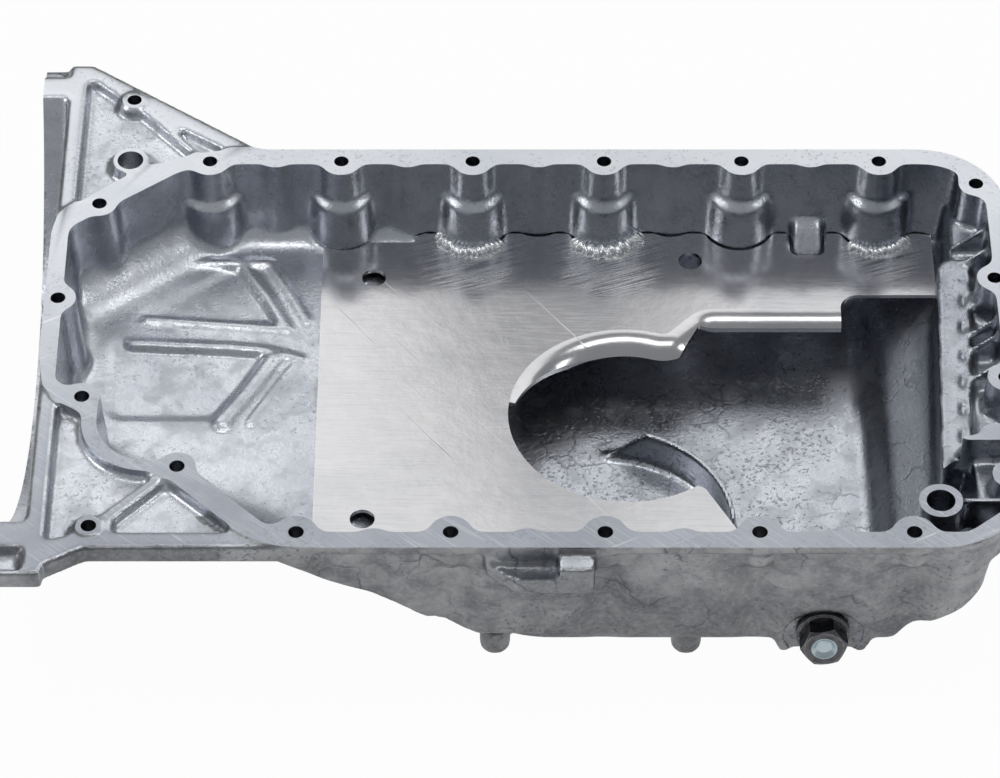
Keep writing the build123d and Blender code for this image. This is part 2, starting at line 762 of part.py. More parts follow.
# Everything that is cut: pockets, recesses, relief, bolt holes and bores
hole_depth = boss_depth + 1.0
with BuildPart() as cuts:
    pocket_floors = gusset_pockets.sketch.moved(Location((0, 0, gusset_top_z - pocket_depth)))
    extrude(pocket_floors, amount=pocket_depth + 1.0)
    with BuildSketch(Plane.XY.offset(gusset_top_z - lug_recess_depth)):
        for low_y, high_y in (lug_recess_back, lug_recess_front):
            with Locations((gearbox_x + ring_thickness / 2 - 0.5, (low_y + high_y) / 2)):
                Rectangle(ring_thickness + 1.0, high_y - low_y)
    extrude(amount=lug_recess_depth + 1.0)
    with BuildSketch(Plane.XY.offset(shallow_floor_z - relief_depth)):
        for corners in (relief_back_corners, relief_front_corners):
            with BuildLine():
                outline(corners)
            make_face()
    extrude(amount=relief_depth + 0.5)
    with BuildSketch(Plane.XY.offset(rail_z - hole_depth)):
        with Locations(*rail_bolts, gusset_hole_back, gusset_hole_front):
            Circle(bolt_hole / 2)
        with Locations(starter_hole_at):
            Circle(starter_hole / 2)
    extrude(amount=hole_depth + 1.0)
    with BuildSketch(Plane.XY.offset(rail_z - passage_depth)):
        with Locations(passage_at):
            Circle(passage_bore / 2)
    extrude(amount=passage_depth + 1.0)
    with BuildSketch(ring_plane.offset(-1.0)):
        with PolarLocations(
            ring_outer - ring_width / 2,
            flange_bolt_count,
            -90.0 - flange_bolt_step * (flange_bolt_count - 1) / 2,
            flange_bolt_step * flange_bolt_count,
            endpoint=False,
        ):
            Circle(flange_bolt_hole / 2)
    extrude(amount=ring_thickness + end_wall + 2.0)
    with BuildSketch(drain_plane(-drain_boss_depth - 1.0)):
        Circle(thread_size / 2 + thread_clearance)
    extrude(amount=drain_boss_depth + 2.0)
    # The seat of the drain plug is sunk into the front wall
    with BuildSketch(drain_plane(0.0)):
        Circle(seat_radius)
    extrude(amount=seat_reach)

# The hollow that is left inside, less everything that stands in it
with BuildPart() as hollow:
    add(cavity.part)
    inner_features = [drain_boss, thread_boss, ridge, front_corner, pocket_ribs, fin, nub, relief_ridges]
    add([feature.part for feature in inner_features], mode=Mode.SUBTRACT)

with BuildPart() as casting:
    add(shell.part)
    rail_blank = rail_outside.sketch.moved(Location((0, 0, rail_z - flange_thickness)))
    extrude(rail_blank, amount=flange_thickness)
    extrude(gusset_outline.sketch.moved(Location((0, 0, gusset_low_z))), amount=gusset_thickness)
    with Locations(*[(x, y, 0) for x, y in rail_bolts]):
        add(bolt_boss.part)
    gusset_bosses = (gusset_hole_back, gusset_hole_front, starter_hole_at)
    with Locations(*[(x, y, -gusset_step) for x, y in gusset_bosses]):
        add(bolt_boss.part)
    add([bracket.part, gearbox_flange.part])
    with Locations(*[(x, y, 0) for x in leg_xs for y in (leg_front_y, leg_back_y)]):
        add(leg.part)
    add([hollow.part, cuts.part], mode=Mode.SUBTRACT)
casting.part.label = "pan_casting"

# Baffle plate: the section of the hollow at its level, less a gap, with the keyhole cut out
plate_top_z = plate_z + plate_thickness
neck_top = (keyhole_at[0] + 36.5, channel_y)
with BuildLine() as keyhole_edge:
    edge_arc = CenterArc(keyhole_at, keyhole_radius, roll_start, roll_end - roll_start)
    FilletPolyline(edge_arc @ 1, neck_top, (channel_end_x, channel_y), radius=neck_radius)
    fillet(keyhole_edge.vertices().sort_by_distance(edge_arc @ 1)[0], neck_foot_radius)

with BuildSketch() as keyhole:
    with Locations(keyhole_at):
        Circle(keyhole_radius)
    with BuildLine():
        add(keyhole_edge.line)
        Polyline(keyhole_edge.line @ 1, (channel_end_x, keyhole_at[1]), keyhole_at, keyhole_edge.line @ 0)
    make_face()
    with BuildLine():
        outline([
            (channel_end_x, strip_y, strip_radius),
            (timing_x, strip_y, 0),
            (timing_x, rail_front_y, 0),
            (keyhole_at[0] + 76.0, rail_front_y, 0),
            (keyhole_at[0] + 35.0, keyhole_at[1] - 46.0, 5),
            (keyhole_at[0] + 10.0, keyhole_at[1] - 40.0, 0),
            (keyhole_at[0] + 10.0, keyhole_at[1], 0),
            (channel_end_x, keyhole_at[1], 0),
        ])
    make_face()

# The rolled edge of the keyhole: a curved sheet that drops away inwards, widest at the back
roll_angle = math.degrees(math.asin(roll_width / roll_radius))
roll_plane = Plane(origin=(edge_arc @ 0) + Vector(0, 0, plate_top_z), z_dir=edge_arc % 0, x_dir=(0, 0, 1))
with BuildSketch(roll_plane) as roll_section:
    with BuildLine():
        upper = CenterArc((-roll_radius, 0), roll_radius, 0, roll_angle)
        lower = CenterArc((-roll_radius, 0), roll_radius - plate_thickness, 0, roll_angle)
        Line(upper @ 0, lower @ 0)
        Line(upper @ 1, lower @ 1)
    make_face()
with BuildPart() as roll:
    sweep(roll_section.sketch, path=keyhole_edge.line.moved(Location((0, 0, plate_top_z))))
    # What stays open: the circle again, moved towards the front, and the channel
    with BuildSketch(Plane.XY.offset(plate_z - roll_radius)):
        with Locations((keyhole_at[0], keyhole_at[1] - roll_shift)):
            Circle(keyhole_radius + 0.5)
        with BuildLine():
            outline([
                (keyhole_at[0] + 10.0, keyhole_at[1], 0),
                (keyhole_at[0] + 25.0, keyhole_at[1] + 40.0, 2),
                (keyhole_at[0] + 36.0, channel_y - roll_channel_width, 2),
                (channel_end_x + 2.0, channel_y - roll_channel_width, 0),
                (channel_end_x + 2.0, keyhole_at[1], 0),
            ])
        make_face()
    extrude(amount=2 * roll_radius, mode=Mode.SUBTRACT)

plate_blank = section(obj=cavity.part, section_by=Plane.XY.offset(plate_z)).moved(Location((0, 0, -plate_z)))
with BuildPart() as baffle:
    with BuildSketch(Plane.XY.offset(plate_z)):
        add(plate_blank)
        offset(amount=-plate_gap)
        with Locations((plate_left_x - timing_x, 0)):
            Rectangle(2 * timing_x, 2 * timing_x, mode=Mode.SUBTRACT)
        add(keyhole.sketch, mode=Mode.SUBTRACT)
        with Locations(*plate_holes):
            Circle(plate_hole / 2, mode=Mode.SUBTRACT)
        with Locations((nub_x, mouth_back_y)):
            notch_reach = mouth_back_y - nub_front_y + nub_gap
            RectangleRounded(nub_width + 2 * nub_gap, 2 * notch_reach, notch_rounding, mode=Mode.SUBTRACT)
    extrude(amount=plate_thickness)
    add(roll.part)
baffle.part.label = "baffle_plate"

# Weld beads on the plate, round the foot of three columns of the back wall
column_drift = math.tan(math.radians(draft)) * (rail_z - plate_top_z)
bead_path_radius = lobe_column + column_drift + bead_size / 4
beads = []
for column_x, start_angle, end_angle in bead_spans:
    with BuildPart() as bead:
        with BuildLine(Plane.XY.offset(plate_top_z)):
            foot_of_column = (column_x, back_bolt_y)
            bead_arc = CenterArc(foot_of_column, bead_path_radius, start_angle, end_angle - start_angle)
        with BuildSketch(Plane(origin=bead_arc @ 0, z_dir=bead_arc % 0)):
            Circle(bead_size / 2)
        sweep()
        for end in (0, 1):
            with Locations(bead_arc @ end):
                Sphere(bead_size / 2)
        split(bisect_by=Plane.XY.offset(plate_top_z), keep=Keep.TOP)
        add(cavity.part, mode=Mode.INTERSECT)
    beads.append(bead)

# Washer and drain plug
with BuildPart() as washer:
    with BuildSketch(drain_plane(0.0)):
        Circle(washer_size / 2)
        Circle(thread_size / 2 + washer_clearance, mode=Mode.SUBTRACT)
    extrude(amount=washer_thickness)
washer.part.label = "drain_plug_washer"

collar_from = washer_thickness
head_from = collar_from + collar_thickness
head_to = head_from + plug_head
with BuildPart(Plane.XY) as plug_upright:
    with BuildSketch(Plane.XZ):
        with BuildLine():
            Polyline(
                (0, collar_from - shank_length),
                (thread_size / 2 - thread_tip, collar_from - shank_length),
                (thread_size / 2, collar_from - shank_length + thread_tip),
                (thread_size / 2, collar_from),
                (collar_size / 2, collar_from),
                (collar_size / 2, head_from - collar_edge),
                (collar_size / 2 - 2 * collar_edge, head_from),
                (plug_hex / 2, head_from),
                (plug_hex / 2, head_from + 1.0),
                (0, head_from + 1.0),
                close=True,
            )
        make_face()
    revolve(axis=Axis.Z)
    with BuildSketch(Plane.XY.offset(head_from)):
        RegularPolygon(plug_hex / 2, side_count=6, major_radius=False, rotation=hex_turn)
    extrude(amount=plug_head)
    # The corners of the hexagon are turned down to a cone at the outer end
    with BuildSketch(Plane.XZ):
        with BuildLine():
            Polyline(
                (plug_hex / 2 - hex_chamfer / 2, head_to),
                (plug_hex / 2 + 4 * hex_chamfer, head_to - 3 * hex_chamfer),
                (plug_hex / 2 + 4 * hex_chamfer, head_to),
                close=True,
            )
        make_face()
    revolve(axis=Axis.Z, mode=Mode.SUBTRACT)
    # Dimple in the end of the head
    with BuildSketch(Plane.XZ):
        with BuildLine():
            Polyline(
                (0, head_to + 1.0),
                (dimple_radius + 1.0, head_to + 1.0),
                (dimple_radius, head_to),
                (dimple_floor, head_to - dimple_depth),
                (0, head_to - dimple_depth),
                close=True,
            )
        make_face()
    revolve(axis=Axis.Z, mode=Mode.SUBTRACT)
with BuildPart() as plug:
    add(plug_upright.part.moved(drain_plane(0.0).location))
plug.part.label = "drain_plug"

os.makedirs("parts", exist_ok=True)
export_step(casting.part, "parts/pan_casting.step")
export_step(baffle.part, "parts/baffle_plate.step")
for bead, bead_name in zip(beads, bead_names):
    bead.part.label = "weld_bead_back_" + bead_name
    export_step(bead.part, "parts/weld_bead_back_" + bead_name + ".step")
export_step(plug.part, "parts/drain_plug.step")
export_step(washer.part, "parts/drain_plug_washer.step")
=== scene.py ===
import math
import random

import bpy
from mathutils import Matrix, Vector


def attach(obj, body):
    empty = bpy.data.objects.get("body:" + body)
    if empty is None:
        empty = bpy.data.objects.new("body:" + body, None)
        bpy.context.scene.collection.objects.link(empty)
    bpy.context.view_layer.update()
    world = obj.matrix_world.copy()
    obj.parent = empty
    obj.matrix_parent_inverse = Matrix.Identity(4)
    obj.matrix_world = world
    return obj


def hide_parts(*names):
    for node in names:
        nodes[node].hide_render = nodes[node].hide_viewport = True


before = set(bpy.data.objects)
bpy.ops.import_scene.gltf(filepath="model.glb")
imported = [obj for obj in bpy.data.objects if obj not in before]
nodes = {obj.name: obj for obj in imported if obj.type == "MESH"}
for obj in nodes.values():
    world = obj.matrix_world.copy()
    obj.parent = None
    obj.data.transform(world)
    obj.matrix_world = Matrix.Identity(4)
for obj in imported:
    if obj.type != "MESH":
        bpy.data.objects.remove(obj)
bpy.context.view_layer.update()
MM = 0.001

# Places on the pan as the model has them, in millimetres: the height of the rail's face and the x of the
# gearbox face, the floor of the shallow end and the top of the plate, the bolts and the other holes
RAIL = 95
GEARBOX = -232
FLOOR = 49
PLATE_TOP = 52
SEAT = Vector((138, -136.8, 21.7)) * MM
PLUG_TILT = math.radians(10)
PLUG_AXIS = Vector((0, -math.cos(PLUG_TILT), math.sin(PLUG_TILT)))
BACK_ROW = 96.2
BACK_BOLTS = [(x, BACK_ROW) for x in (-148.3, -85.2, -22.1, 41, 107, 173)]
FRONT_BOLTS = [(-99.3 + 68.45 * i, -141.8) for i in range(5)]
END_BOLTS = [(222.5, 17.2), (222.5, -47), (218.5, 80.8), (220, -107)]
CRANK_BOLTS = [(-199.6, 67.15), (-199.6, -59.15), (-214.9, 4), (-154, -102.3)]
GUSSET_BOLTS = [(-187.1, 139.6), (-191.4, -138)]
SMALL_HOLES = BACK_BOLTS + FRONT_BOLTS + END_BOLTS + CRANK_BOLTS + GUSSET_BOLTS
STARTER_HOLE = (-186.6, 97)
PASSAGE = (187.5, -123)


# Modelling helpers

def alone(obj):
    """Selects one object and makes it active."""
    bpy.ops.object.select_all(action="DESELECT")
    obj.select_set(True)
    bpy.context.view_layer.objects.active = obj


def edit(obj, step):
    """Runs an edit-mode step on everything in an object."""
    alone(obj)
    bpy.ops.object.mode_set(mode="EDIT")
    bpy.ops.mesh.select_all(action="SELECT")
    step()
    bpy.ops.object.mode_set(mode="OBJECT")


def smoothed(obj, degrees):
    """Shades an object smooth, apart from edges sharper than an angle."""
    alone(obj)
    bpy.ops.object.shade_smooth_by_angle(angle=math.radians(degrees))


def settle(obj):
    """Puts an object's place into its mesh."""
    alone(obj)
    bpy.ops.object.transform_apply(location=True, rotation=True, scale=True)


def modify(obj, kind, **values):
    """Adds a modifier, sets it and applies it."""
    alone(obj)
    made = obj.modifiers.new(kind.lower(), kind)
    for key, value in values.items():
        setattr(made, key, value)
    bpy.ops.object.modifier_apply(modifier=made.name)


def joined(objects, name):
    """Several objects as one."""
    alone(objects[0])
    for obj in objects[1:]:
        obj.select_set(True)
    bpy.ops.object.join()
    made = bpy.context.object
    made.name = made.data.name = name
    return made


def merged_copy(node, name):
    """A copy of a CAD node's mesh with its triangles joined up."""
    made = bpy.data.objects.new(name, nodes[node].data.copy())
    bpy.context.scene.collection.objects.link(made)
    made.data.name = name
    edit(made, lambda: bpy.ops.mesh.remove_doubles(threshold=2e-6))
    return made


def rod(x, y, low, high, radius, sides=48):
    """An upright round rod, in millimetres."""
    bpy.ops.object.select_all(action="DESELECT")
    bpy.ops.mesh.primitive_cylinder_add(
        vertices=sides, radius=radius * MM, depth=(high - low) * MM,
        location=(x * MM, y * MM, (low + high) / 2 * MM))
    made = bpy.context.object
    settle(made)
    return made


def block(low, high):
    """A box from one corner to the opposite one, in millimetres."""
    low, high = Vector(low) * MM, Vector(high) * MM
    bpy.ops.object.select_all(action="DESELECT")
    bpy.ops.mesh.primitive_cube_add(size=1, location=(low + high) / 2, scale=high - low)
    made = bpy.context.object
    settle(made)
    return made


def ball(place, radius=1.0, segments=24):
    """A round ball at a place, in metres."""
    bpy.ops.object.select_all(action="DESELECT")
    bpy.ops.mesh.primitive_uv_sphere_add(segments=segments, ring_count=12, radius=radius, location=place)
    return bpy.context.object


def rod_along(start, axis, length, radius, sides=64):
    """A round rod from a point along an axis, in metres."""
    bpy.ops.object.select_all(action="DESELECT")
    bpy.ops.mesh.primitive_cylinder_add(
        vertices=sides, radius=radius, depth=length, location=start + axis * length / 2,
        rotation=axis.to_track_quat("Z", "Y").to_euler())
    made = bpy.context.object
    settle(made)
    return made


# Low ridges cast on the floor of the shallow end: the points along each, its radius and its height

RELIEF = [
    ([(-172, 69), (-150, 73), (-121, 72.5)], 4.0, 2.2),
    ([(-133, 70), (-120, 48), (-110.5, 28)], 3.6, 1.8),
    ([(-121, 72.5), (-110, 52), (-101.5, 33)], 3.4, 1.5),
    ([(-178, 34.5), (-150, 32), (-110.5, 28)], 3.2, 1.3),
    ([(-184, 18.5), (-140, 16), (-121, 14), (-104, 8)], 3.4, 2.0),
    ([(-116, 8), (-126, -12), (-139, -33)], 7.5, 2.8),
    ([(-104, 8), (-115, -12), (-126, -33)], 3.4, 1.6),
]


def ridge(points, radius, rise):
    """A low rounded ridge along points on the shallow floor: round rods, with a ball at each point."""
    places = [Vector((x, y, FLOOR + rise - radius)) * MM for x, y in points]
    made = [ball(place, radius * MM) for place in places]
    for piece in made:
        settle(piece)
    for start, end in zip(places, places[1:]):
        made.append(rod_along(start, (end - start).normalized(), (end - start).length, radius * MM, 24))
    return made


# The casting: its edges are softened as in a mould, and then its faces are milled and its holes drilled

ALLOWANCE = 3
VOXEL = 1.25 * MM
BODY_TRIANGLES = 180000
CAST_SHARP = 32
# Holes up through the rail: their places, and the bottom, top and radius of the rods that fill them before
# the softening and of the drills that open them again
HOLES = [
    (SMALL_HOLES, (74, 97.5, 4.6), (77, 99, 3.5)),
    ([STARTER_HOLE], (76, 97, 7.4), (76, 99, 6.2)),
    ([PASSAGE], (60, 97.5, 7.6), (65, 99, 6.45)),
]
# The plug's seat and thread: the radius of each, the length of their drills and how deep the thread goes
SEAT_RADIUS, THREAD_RADIUS, SEAT_DRILL, THREAD_DEPTH = 18, 7.1, 30, 16
# A block above the rail's face and one beyond the gearbox face, each by its two corners
MILLED_OFF = [((-250, -180, RAIL), (250, 180, 110)), ((-250, -180, -5), (GEARBOX, 180, 110))]


def softness(place):
    """How far the casting's edges are rounded at a place, from 0 to 1."""
    x, y, z = place / MM
    if z > 83 or x < -207:  # rail and gearbox flange
        return 0.12
    if y < -150.5 and -30 < x < 50:  # bracket
        return 0.0
    if (place - SEAT).length < 30 * MM:  # boss of the drain plug
        return 0.1
    if x > 175 and z > 60:  # pockets at the timing end
        return 0.2
    if y < -122 and -95 < x < 180:  # front wall
        return 0.3
    if z < 12:  # posts and underside
        return 0.3
    return 1.0


def with_allowance(body):
    """Raises the faces that are milled later."""
    for v in body.data.vertices:
        if v.co.z > (RAIL - 0.1) * MM:
            v.co.z += ALLOWANCE * MM
        if v.co.x < (GEARBOX + 0.1) * MM:
            v.co.x -= ALLOWANCE * MM


def remeshed(body, weight_of, all_over, more):
    """Remeshes a body evenly and smooths it all over, and then more by the weight of each place."""
    modify(body, "REMESH", mode="VOXEL", voxel_size=VOXEL, adaptivity=0.0)
    group = body.vertex_groups.new(name="softened")
    for v in body.data.vertices:
        weight = weight_of(v.co)
        if weight:
            group.add([v.index], weight, "REPLACE")
    modify(body, "SMOOTH", factor=0.5, iterations=all_over)
    modify(body, "SMOOTH", factor=0.5, iterations=more, vertex_group="softened")
    body.vertex_groups.clear()


def on_shallow_floor(place):
    """1 on the floor of the shallow end and its relief, 0 elsewhere."""
    return 1.0 if place.x < -96 * MM and 46 * MM < place.z < 54 * MM else 0.0


def cut(body, tool):
    """Takes a tool's shape out of a body and removes the tool."""
    modify(body, "BOOLEAN", operation="DIFFERENCE", solver="EXACT", object=tool)
    bpy.data.objects.remove(tool)


def cast_body():
    """The casting, from the CAD node: filled, softened, given its relief, thinned out, milled and drilled."""
    body = merged_copy("pan_casting", "cast_body")
    with_allowance(body)
    fillers = [rod(*place, *filler) for places, filler, _ in HOLES for place in places]
    body = joined([body, *fillers], "cast_body")
    remeshed(body, softness, 3, 22)
    relief = [piece for points, radius, rise in RELIEF for piece in ridge(points, radius, rise)]
    body = joined([body, *relief], "cast_body")
    remeshed(body, on_shallow_floor, 2, 5)
    share = BODY_TRIANGLES / (2 * len(body.data.polygons))
    if share < 1:
        modify(body, "DECIMATE", ratio=share)
    for low, high in MILLED_OFF:
        cut(body, block(low, high))
    drills = [rod(*place, *drill) for places, _, drill in HOLES for place in places]
    drills.append(rod_along(SEAT, PLUG_AXIS, SEAT_DRILL * MM, SEAT_RADIUS * MM, 96))
    thread_foot = SEAT - PLUG_AXIS * THREAD_DEPTH * MM
    thread = rod_along(thread_foot, PLUG_AXIS, SEAT_DRILL * MM, THREAD_RADIUS * MM)
    cut(body, joined(drills, "drills"))
    cut(body, thread)
    smoothed(body, CAST_SHARP)
    return body


def mark_outside(body):
    """Stores on the casting which of its skin is on the outer side."""
    mesh = body.data
    attribute = mesh.attributes.new("outside", "FLOAT", "POINT")
    for v in mesh.vertices:
        x, y, z = v.co / MM
        # How far the skin faces away from the middle of the pan, which is 430 by 240 mm in plan
        outwards = v.normal.x * (x + 5) / 215 + v.normal.y * (y + 22) / 120
        beyond = y < -128 or y > 83 or x > 208 or x < -200 or z < 15
        attribute.data[v.index].value = 1.0 if v.normal.z < -0.4 or (beyond and outwards > 0.15) else 0.0


# Weld beads: overlapping ripples laid round the foot of a column

BEAD_REACH, BEAD_VOXEL, BEAD_SHARP = 17.8, 0.32, 50
RIPPLE_THICKNESS, RIPPLE_LEAN = 1.25, 0.38
# The core under each ripple, whose width and height are a share of the bead's, and the smaller last ripples
CORE_THICKNESS, CORE_SHARE, END_SHARE = 1.7, 0.72, 0.72
# Each bead: the x of its column, the angles it runs between, its ripples, half width, height and seed
BEADS = {
    "left": (-22.1, 205, 318, 17, 4.3, 3.0, 3),
    "middle": (41, 222, 340, 17, 5.2, 3.6, 8),
    "right": (173, 230, 330, 15, 4.0, 2.9, 21),
}


def weld_bead(name, column, start, end, ripples, half_width, rise, seed):
    """A bead of ripples from one angle to another round a column, in degrees and millimetres."""
    dice = random.Random(seed)
    discs = []
    for i in range(ripples):
        angle = math.radians(start + (end - start) * i / (ripples - 1))
        reach = BEAD_REACH + dice.uniform(-0.5, 0.5)
        taper = END_SHARE if i in (0, ripples - 1) else 1.0
        core = (CORE_SHARE * half_width, CORE_THICKNESS, CORE_SHARE * rise)
        ripple = (half_width + dice.uniform(-0.4, 0.6), RIPPLE_THICKNESS, rise + dice.uniform(-0.3, 0.4))
        x, y = column + reach * math.cos(angle), BACK_ROW + reach * math.sin(angle)
        place = Vector((x, y, PLATE_TOP + 0.4))
        for sizes, lean in ((core, 0.0), (ripple, RIPPLE_LEAN)):
            disc = ball(place * MM, segments=20)
            disc.scale = Vector(sizes) * taper * MM
            disc.rotation_euler = (lean, 0, angle + math.radians(dice.uniform(-12, 12)))
            settle(disc)
            discs.append(disc)
    bead = joined(discs, name)
    modify(bead, "REMESH", mode="VOXEL", voxel_size=BEAD_VOXEL * MM, adaptivity=0.0)
    modify(bead, "SMOOTH", factor=0.4, iterations=2)
    edit(bead, lambda: bpy.ops.mesh.bisect(
        plane_co=(0, 0, (PLATE_TOP - 0.1) * MM), plane_no=(0, 0, -1), use_fill=True, clear_outer=True))
    smoothed(bead, BEAD_SHARP)
    return bead


# Shader helpers

def new_group(name, inputs, output="Mask", kind="NodeSocketFloat"):
    """A node group given a Vector and numbers: itself, the sockets it is given and the one it fills."""
    made = bpy.data.node_groups.new(name, "ShaderNodeTree")
    made.interface.new_socket(name="Vector", in_out="INPUT", socket_type="NodeSocketVector")
    for socket, value in inputs.items():
        one = made.interface.new_socket(name=socket, in_out="INPUT", socket_type="NodeSocketFloat")
        one.default_value = value
    made.interface.new_socket(name=output, in_out="OUTPUT", socket_type=kind)
    return made, made.nodes.new("NodeGroupInput").outputs, made.nodes.new("NodeGroupOutput").inputs[output]


def put(tree, kind, links=(), **values):
    """A node with its settings; links says for each of its inputs which socket or value goes in."""
    made = tree.nodes.new(kind)
    for key, value in values.items():
        setattr(made, key, value)
    for key, value in dict(links).items():
        if isinstance(value, bpy.types.NodeSocket):
            tree.links.new(value, made.inputs[key])
        else:
            made.inputs[key].default_value = value
    return made


def math_of(tree, operation, *values):
    """A sum on one or two sockets or numbers."""
    return put(tree, "ShaderNodeMath", dict(enumerate(values)), operation=operation).outputs[0]


def times(tree, first, second):
    """Two sockets or numbers multiplied."""
    return math_of(tree, "MULTIPLY", first, second)


def most(tree, first, second):
    """The larger of two."""
    return math_of(tree, "MAXIMUM", first, second)


def vector_of(tree, operation, output, links):
    """A sum on vectors: one of its outputs."""
    return put(tree, "ShaderNodeVectorMath", links, operation=operation).outputs[output]


def ranged(tree, value, low, high, to_low=0.0, to_high=1.0, smooth=True):
    """A value taken from one range to another."""
    made = put(tree, "ShaderNodeMapRange", {
        "Value": value, "From Min": low, "From Max": high, "To Min": to_low, "To Max": to_high})
    made.interpolation_type = "SMOOTHSTEP" if smooth else "LINEAR"
    return made.outputs["Result"]


def mixed(tree, share, first, second):
    """Two colours mixed by a share."""
    made = tree.nodes.new("ShaderNodeMix")
    made.data_type = "RGBA"
    for index, value in ((0, share), (6, first), (7, second)):
        if isinstance(value, bpy.types.NodeSocket):
            tree.links.new(value, made.inputs[index])
        else:
            made.inputs[index].default_value = (*value, 1)
    return made.outputs[2]


# Shared finishes and a painted edge highlight, as masks and normals

def noise(tree, place, scale, detail, **more):
    """A cloud of noise: its value."""
    links = {"Vector": place, "Scale": scale, "Detail": detail, **more}
    return put(tree, "ShaderNodeTexNoise", links).outputs["Fac"]


def stains_group():
    """Cloudy stains: 0 where clean, 1 in the middle of a stain."""
    made, given, out = new_group("stains", {"Scale": 20.0, "From": 0.45, "To": 0.65})
    cloud = noise(made, given["Vector"], given["Scale"], 6.0, Roughness=0.62, Distortion=0.35)
    made.links.new(ranged(made, cloud, given["From"], given["To"]), out)
    return made


def specks_group():
    """Small dark specks and pits."""
    made, given, out = new_group("specks", {"Scale": 300.0, "Amount": 0.3})
    fine = noise(made, given["Vector"], given["Scale"], 3.0, Roughness=0.7)
    patches = noise(made, given["Vector"], 24.0, 2.0)
    limit = math_of(made, "SUBTRACT", 0.78, times(made, patches, given["Amount"]))
    over = math_of(made, "SUBTRACT", fine, limit)
    made.links.new(ranged(made, over, 0.0, 0.06), out)
    return made


def veins_group():
    """Thin wandering lines, as heat leaves on a mould and its castings."""
    made, given, out = new_group("veins", {"Scale": 60.0, "Width": 0.03})
    sway = put(made, "ShaderNodeTexNoise", {"Vector": given["Vector"], "Scale": 90.0, "Detail": 4.0})
    pushed = vector_of(made, "SCALE", 0, {0: sway.outputs["Color"], "Scale": 0.012})
    moved = vector_of(made, "ADD", 0, {0: given["Vector"], 1: pushed})
    cells = put(made, "ShaderNodeTexVoronoi", {
        "Vector": moved, "Scale": given["Scale"]}, feature="DISTANCE_TO_EDGE")
    line = ranged(made, cells.outputs["Distance"], 0.0, given["Width"], 1.0, 0.0, smooth=False)
    broken = ranged(made, noise(made, given["Vector"], 35.0, 2.0), 0.48, 0.62)
    made.links.new(times(made, line, broken), out)
    return made


def scratches_group():
    """Fine straight scratches that run one way, turned by an angle."""
    made, given, out = new_group("scratches", {"Angle": 0.0, "Scale": 900.0, "From": 0.62})
    turned = put(made, "ShaderNodeVectorRotate", {
        "Vector": given["Vector"], "Angle": given["Angle"]}, rotation_type="Z_AXIS")
    long_way = vector_of(made, "MULTIPLY", 0, {0: turned.outputs[0], 1: (0.025, 1.0, 0.3)})
    lines = noise(made, long_way, given["Scale"], 2.0, Roughness=0.5)
    made.links.new(ranged(made, lines, given["From"], math_of(made, "ADD", given["From"], 0.12)), out)
    return made


def grain_group():
    """A rough skin, fine and coarse, as a normal; marks are pressed into it."""
    numbers = {"Scale": 900.0, "Strength": 0.3, "Depth": 0.0002, "Marks": 0.0}
    made, given, out = new_group("grain", numbers, "Normal", "NodeSocketVector")
    fine = noise(made, given["Vector"], given["Scale"], 4.0, Roughness=0.6)
    height = math_of(made, "SUBTRACT", fine, times(made, given["Marks"], 0.8))
    bump = put(made, "ShaderNodeBump", {
        "Strength": given["Strength"], "Distance": given["Depth"], "Height": height})
    made.links.new(bump.outputs["Normal"], out)
    return made


def edge_highlight_group():
    """Painted highlight on sharp edges: 1 on a sharp edge, broken up by a fine cloud."""
    made, given, out = new_group("painted edge highlight", {"Reach": 0.0008})
    rounded = put(made, "ShaderNodeBevel", {"Radius": given["Reach"]}, samples=2)
    flat = made.nodes.new("ShaderNodeNewGeometry")
    match = vector_of(made, "DOT_PRODUCT", "Value", {0: rounded.outputs[0], 1: flat.outputs["Normal"]})
    broken = ranged(made, noise(made, given["Vector"], 260.0, 3.0), 0.38, 0.56)
    made.links.new(times(made, ranged(made, match, 0.985, 0.90), broken), out)
    return made


STAINS = stains_group()
SPECKS = specks_group()
VEINS = veins_group()
SCRATCHES = scratches_group()
GRAIN = grain_group()
EDGE_HIGHLIGHT = edge_highlight_group()


def effect(tree, group, **values):
    """One of the shared finishes, placed in a material: its output socket."""
    made = tree.nodes.new("ShaderNodeGroup")
    made.node_tree = group
    for key, value in values.items():
        if isinstance(value, bpy.types.NodeSocket):
            tree.links.new(value, made.inputs[key])
        else:
            made.inputs[key].default_value = value
    return made.outputs[0]


def material(name):
    """A new material: itself, its node tree and its texture coordinates."""
    made = bpy.data.materials.new(name)
    made.use_nodes = True
    return made, made.node_tree, made.node_tree.nodes.new("ShaderNodeTexCoord").outputs


def with_painted_edge_highlight(tree, place, colour, reach, share, bright):
    """A colour with a painted highlight on its sharp edges, to a reach in metres and by a share."""
    return mixed(tree, times(tree, effect(tree, EDGE_HIGHLIGHT, Vector=place, Reach=reach), share), colour, bright)


def metal(tree, colour, roughness, normal):
    """Makes a material's shader a metal with this colour, roughness and normal."""
    shader = tree.nodes["Principled BSDF"]
    shader.inputs["Metallic"].default_value = 1.0
    tree.links.new(colour, shader.inputs["Base Color"])
    tree.links.new(roughness, shader.inputs["Roughness"])
    tree.links.new(normal, shader.inputs["Normal"])


def wear(obj, made):
    """Puts one material on an object."""
    obj.data.materials.clear()
    obj.data.materials.append(made)


